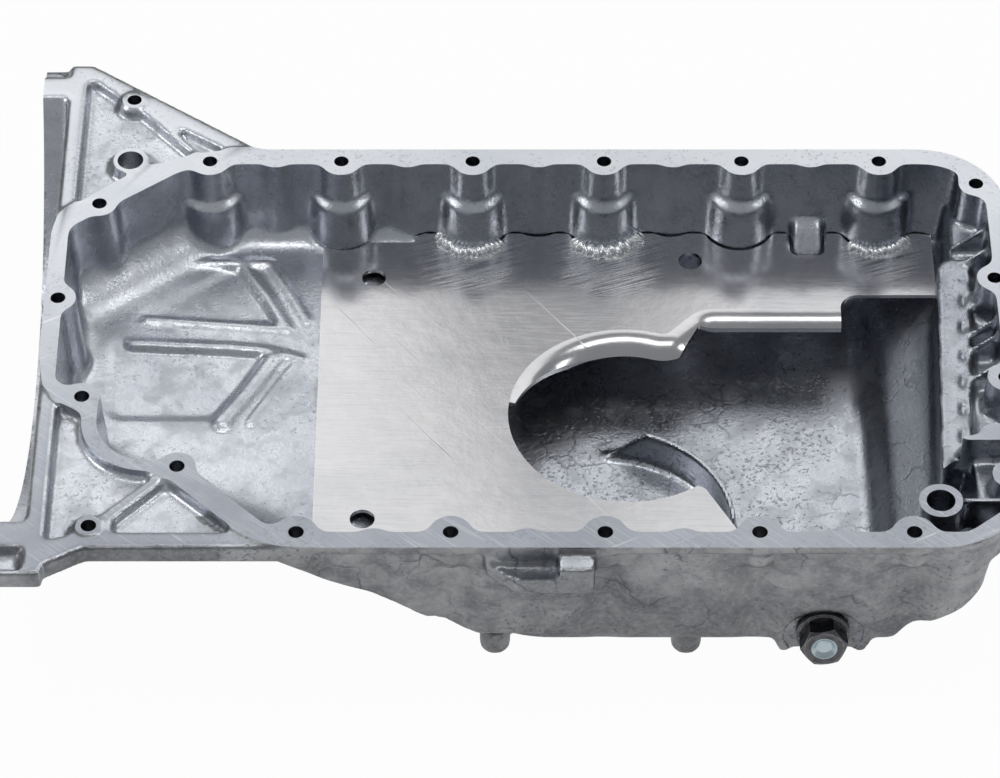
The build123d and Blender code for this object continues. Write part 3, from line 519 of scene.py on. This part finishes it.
def cast_aluminium():
    """Grey cast skin with stains, specks and veins, and bright milled faces on the rail and the gussets."""
    made, tree, coords = material("cast aluminium")
    place = coords["Object"]
    xyz = put(tree, "ShaderNodeSeparateXYZ", {0: place}).outputs
    facing = put(tree, "ShaderNodeSeparateXYZ", {0: coords["Normal"]}).outputs
    high = ranged(tree, xyz["Z"], (RAIL - 1.1) * MM, (RAIL - 0.8) * MM)
    milled_top = times(tree, high, ranged(tree, facing["Z"], 0.97, 0.995))
    milled = most(tree, milled_top, math_of(tree, "LESS_THAN", xyz["X"], (GEARBOX + 0.2) * MM))
    outside = put(tree, "ShaderNodeAttribute", attribute_name="outside").outputs["Fac"]

    broad = effect(tree, STAINS, Vector=place, Scale=16.0, From=0.38, To=0.66)
    middle = effect(tree, STAINS, Vector=place, Scale=75.0, From=0.42, To=0.7)
    small = effect(tree, STAINS, Vector=place, Scale=420.0, From=0.4, To=0.75)
    specks = effect(tree, SPECKS, Vector=place, Scale=520.0, Amount=0.34)
    veins = effect(tree, VEINS, Vector=place, Scale=46.0, Width=0.035)

    # The cast skin: bright inside, with painted shade on steep walls, darker at the timing end, greyer
    # outside
    steep = ranged(tree, math_of(tree, "ABSOLUTE", facing["Z"]), 0.12, 0.55, 1.0, 0.0)
    inner = mixed(tree, broad, (0.80, 0.82, 0.87), (0.62, 0.645, 0.70))
    timing_end = ranged(tree, xyz["X"], 0.150, 0.180)
    inner = mixed(tree, times(tree, timing_end, 0.6), inner, (0.36, 0.38, 0.43))
    # Painted shade: steep walls are darkened towards a blue grey
    inner = mixed(tree, times(tree, steep, 0.62), inner, (0.25, 0.27, 0.325))
    outer = mixed(tree, broad, (0.44, 0.45, 0.46), (0.17, 0.175, 0.185))
    skin = mixed(tree, outside, inner, outer)
    cloudy = times(tree, middle, ranged(tree, outside, 0.0, 1.0, 0.28, 0.72))
    skin = mixed(tree, cloudy, skin, (0.2, 0.21, 0.225))
    skin = mixed(tree, times(tree, small, 0.3), skin, (0.6, 0.61, 0.63))
    in_sump = ranged(tree, xyz["Z"], 0.046, 0.036)
    cracked = times(tree, veins, most(tree, outside, times(tree, in_sump, 0.7)))
    speckled = times(tree, specks, ranged(tree, most(tree, outside, in_sump), 0.0, 1.0, 0.3, 0.55))
    dark = most(tree, speckled, times(tree, cracked, 0.72))
    skin = mixed(tree, dark, skin, (0.09, 0.095, 0.11))
    # Painted highlight: the sharp edges of the cast skin are brightened
    skin = with_painted_edge_highlight(tree, place, skin, 0.0012, 0.6, (0.86, 0.87, 0.89))

    # The milled faces: lines two ways, lighter at the back and darker towards the front
    close_lines = effect(tree, SCRATCHES, Vector=place, Angle=0.7, Scale=1500.0, From=0.55)
    rare_lines = effect(tree, SCRATCHES, Vector=place, Angle=-0.5, Scale=500.0, From=0.66)
    lines = most(tree, times(tree, close_lines, 0.5), rare_lines)
    clean = mixed(tree, broad, (0.88, 0.9, 0.93), (0.80, 0.82, 0.87))
    darker_front_tone = mixed(tree, broad, (0.50, 0.52, 0.57), (0.42, 0.44, 0.49))
    # Darker towards the front and lighter at the back, by y
    face = mixed(tree, ranged(tree, xyz["Y"], -0.13, 0.08), darker_front_tone, clean)
    face = mixed(tree, times(tree, lines, 0.5), face, (0.93, 0.93, 0.95))
    face = mixed(tree, times(tree, specks, 0.3), face, (0.2, 0.2, 0.23))

    rough_skin = ranged(tree, middle, 0.0, 1.0, 0.27, 0.38)
    rough_skin = math_of(tree, "ADD", rough_skin, times(tree, outside, 0.06))
    rough_skin = math_of(tree, "SUBTRACT", rough_skin, times(tree, steep, 0.05))
    rough_face = ranged(tree, lines, 0.0, 1.0, 0.38, 0.28)
    rough = put(tree, "ShaderNodeMix", {0: milled, 2: rough_skin, 3: rough_face}).outputs[0]

    marks = most(tree, dark, times(tree, lines, milled))
    strength = ranged(tree, milled, 0.0, 1.0, 0.45, 0.12)
    grain = effect(tree, GRAIN, Vector=place, Scale=650.0, Strength=strength, Depth=0.0004, Marks=marks)
    metal(tree, mixed(tree, milled, skin, face), rough, grain)
    return made


# Where the sheet was brushed clean round each weld: x, y and reach, in millimetres
HALOS = [(-24, 80, 34), (44, 80, 36), (176, 80, 26)]


def rolled_sheet():
    """Bright sheet with fine rolling lines, and brushed halos where the welds were cleaned."""
    made, tree, coords = material("rolled sheet")
    place = coords["Object"]
    broad = effect(tree, STAINS, Vector=place, Scale=14.0, From=0.35, To=0.7)
    fine = effect(tree, SCRATCHES, Vector=place, Angle=0.02, Scale=2200.0, From=0.5)
    rare = effect(tree, SCRATCHES, Vector=place, Angle=0.9, Scale=420.0, From=0.7)
    specks = effect(tree, SPECKS, Vector=place, Scale=700.0, Amount=0.2)
    halo = 0.0
    for x, y, reach in HALOS:
        away = vector_of(tree, "DISTANCE", "Value", {0: place, 1: (x * MM, y * MM, PLATE_TOP * MM)})
        halo = most(tree, halo, ranged(tree, away, reach * MM, reach * 0.45 * MM))
    brushed = effect(tree, SCRATCHES, Vector=place, Angle=-0.35, Scale=1100.0, From=0.45)
    brushed = times(tree, brushed, halo)
    colour = mixed(tree, broad, (0.69, 0.68, 0.685), (0.60, 0.60, 0.61))
    colour = mixed(tree, times(tree, specks, 0.5), colour, (0.4, 0.38, 0.36))
    colour = mixed(tree, times(tree, brushed, 0.5), colour, (0.93, 0.93, 0.93))
    # Painted highlight: the sharp edges of the sheet are brightened
    colour = with_painted_edge_highlight(tree, place, colour, 0.0006, 0.7, (0.95, 0.95, 0.95))
    rough = math_of(tree, "ADD", ranged(tree, fine, 0.0, 1.0, 0.17, 0.22), times(tree, brushed, 0.14))
    marks = most(tree, brushed, rare)
    grain = effect(tree, GRAIN, Vector=place, Scale=70.0, Strength=0.15, Depth=0.0006, Marks=marks)
    metal(tree, colour, rough, grain)
    return made


def weld_metal():
    """Bright rippled filler metal with a little soot."""
    made, tree, coords = material("weld metal")
    place = coords["Object"]
    soot = effect(tree, STAINS, Vector=place, Scale=260.0, From=0.5, To=0.75)
    colour = mixed(tree, times(tree, soot, 0.45), (0.88, 0.89, 0.9), (0.4, 0.41, 0.43))
    # Painted highlight: the sharp edges of the weld ripples are brightened
    colour = with_painted_edge_highlight(tree, place, colour, 0.0004, 0.5, (0.97, 0.97, 0.97))
    grain = effect(tree, GRAIN, Vector=place, Scale=1400.0, Strength=0.35, Depth=0.00015)
    metal(tree, colour, ranged(tree, soot, 0.0, 1.0, 0.24, 0.42), grain)
    return made


# The dimple in the plug's head: its radius with the width of its rim, and how far out the head's face is
DIMPLE_RIM, DIMPLE, HEAD_FACE = 0.0062, 0.0056, 0.010


def plated_plug():
    """Dark dull plating, with a pale blue dimple in the middle of the head."""
    made, tree, coords = material("dull zinc")
    place = coords["Object"]
    from_seat = vector_of(tree, "SUBTRACT", 0, {0: place, 1: tuple(SEAT)})
    along = vector_of(tree, "DOT_PRODUCT", "Value", {0: from_seat, 1: tuple(PLUG_AXIS)})
    on_axis = vector_of(tree, "SCALE", 0, {0: tuple(PLUG_AXIS), "Scale": along})
    off_axis = vector_of(tree, "DISTANCE", "Value", {0: from_seat, 1: on_axis})
    at_head = math_of(tree, "GREATER_THAN", along, HEAD_FACE)
    dimple = times(tree, ranged(tree, off_axis, DIMPLE_RIM, DIMPLE), at_head)
    stains = effect(tree, STAINS, Vector=place, Scale=180.0, From=0.4, To=0.7)
    specks = effect(tree, SPECKS, Vector=place, Scale=900.0, Amount=0.35)
    colour = mixed(tree, stains, (0.17, 0.17, 0.18), (0.09, 0.09, 0.1))
    colour = mixed(tree, times(tree, specks, 0.7), colour, (0.05, 0.05, 0.05))
    # Painted highlight: the sharp edges of the plug are brightened
    colour = with_painted_edge_highlight(tree, place, colour, 0.0008, 0.7, (0.7, 0.7, 0.7))
    pale = mixed(tree, stains, (0.66, 0.77, 0.82), (0.5, 0.6, 0.65))
    grain = effect(tree, GRAIN, Vector=place, Scale=900.0, Strength=0.3, Depth=0.0002, Marks=specks)
    metal(tree, mixed(tree, dimple, colour, pale), ranged(tree, stains, 0.0, 1.0, 0.3, 0.45), grain)
    return made


def satin_washer():
    """Soft aluminium, a little stained."""
    made, tree, coords = material("satin aluminium")
    place = coords["Object"]
    stains = effect(tree, STAINS, Vector=place, Scale=220.0, From=0.4, To=0.7)
    colour = mixed(tree, stains, (0.6, 0.61, 0.62), (0.45, 0.46, 0.47))
    # Painted highlight: the sharp edges of the washer are brightened
    colour = with_painted_edge_highlight(tree, place, colour, 0.0004, 0.6, (0.85, 0.85, 0.86))
    grain = effect(tree, GRAIN, Vector=place, Scale=1200.0, Strength=0.2, Depth=0.0001)
    metal(tree, colour, ranged(tree, stains, 0.0, 1.0, 0.32, 0.45), grain)
    return made


# The pieces

body = cast_body()
mark_outside(body)
wear(body, cast_aluminium())
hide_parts("pan_casting")
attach(body, "pan")

weld = weld_metal()
for name, laid in BEADS.items():
    bead = weld_bead("weld_" + name, *laid)
    wear(bead, weld)
    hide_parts("weld_bead_back_" + name)
    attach(bead, "pan")

wear(nodes["baffle_plate"], rolled_sheet())
wear(nodes["drain_plug"], plated_plug())
wear(nodes["drain_plug_washer"], satin_washer())

# Camera: as in the photograph, a long lens 46.5 degrees above the front
TARGET = Vector((-0.009, -0.0546, RAIL * MM))
ELEVATION = math.radians(46.5)
CAMERA_DISTANCE = 1.9676
camera_data = bpy.data.cameras.new("camera")
camera_data.lens = 155.2
camera_data.sensor_width = 36
camera = bpy.data.objects.new("camera", camera_data)
bpy.context.scene.collection.objects.link(camera)
camera.location = TARGET + CAMERA_DISTANCE * Vector((0, -math.cos(ELEVATION), math.sin(ELEVATION)))
camera.rotation_euler = (math.radians(90) - ELEVATION, 0, 0)
bpy.context.scene.camera = camera

# Floor: a matt surface that shows as white to the camera, and less so in the metal's reflections
FLOOR_WHITE, FLOOR_MIRRORED = 0.97, 0.36
bpy.ops.object.select_all(action="DESELECT")
bpy.ops.mesh.primitive_plane_add(size=12, location=(0, 0, 0))
floor = bpy.context.object
floor.name = "floor"
floor_made, tree, _ = material("studio floor")
matt = tree.nodes["Principled BSDF"]
matt.inputs["Base Color"].default_value = (0.86, 0.86, 0.86, 1)
matt.inputs["Roughness"].default_value = 0.9
white = tree.nodes.new("ShaderNodeEmission")
path = tree.nodes.new("ShaderNodeLightPath").outputs
seen = times(tree, path["Is Camera Ray"], FLOOR_WHITE)
mirrored = times(tree, most(tree, path["Is Glossy Ray"], path["Is Transmission Ray"]), FLOOR_MIRRORED)
blend = put(tree, "ShaderNodeMixShader", {
    0: math_of(tree, "ADD", seen, mirrored), 1: matt.outputs[0], 2: white.outputs[0]})
tree.links.new(blend.outputs[0], tree.nodes["Material Output"].inputs["Surface"])
wear(floor, floor_made)

world = bpy.data.worlds.new("studio")
bpy.context.scene.world = world
world.use_nodes = True
world.node_tree.nodes["Background"].inputs["Color"].default_value = (0.93, 0.96, 1, 1)
world.node_tree.nodes["Background"].inputs["Strength"].default_value = 0.3


# The point that every lamp is aimed at, in the middle of the pan
LIT_POINT = Vector((0, 0, 0.06))


def softbox(name, azimuth, elevation, distance, width, height, brightness):
    """An even panel of light, placed by its direction from the pan, with the brightness of its surface."""
    data = bpy.data.lights.new(name, "AREA")
    data.shape = "RECTANGLE"
    data.size, data.size_y = width, height
    data.energy = brightness * math.pi * width * height
    made = bpy.data.objects.new(name, data)
    bpy.context.scene.collection.objects.link(made)
    a, e = math.radians(azimuth), math.radians(elevation)
    towards = Vector((math.sin(a) * math.cos(e), math.cos(a) * math.cos(e), math.sin(e)))
    made.location = LIT_POINT + distance * towards
    made.rotation_euler = (-towards).to_track_quat("-Z", "Y").to_euler()


# Azimuths go from the back of the pan (0) to its right-hand end (90)
softbox("panel back left", -25, 46, 2.2, 1.25, 1.1, 0.9)
softbox("panel back right", 27.5, 46, 2.2, 1.2, 1.1, 0.85)
softbox("strip overhead", 0, 88, 2.0, 1.6, 0.5, 2.2)
softbox("panel left", -95, 35, 2.2, 0.9, 0.9, 2.4)
softbox("strip right", 100, 38, 2.2, 0.35, 0.9, 3.2)

bpy.context.scene.view_settings.view_transform = "Standard"
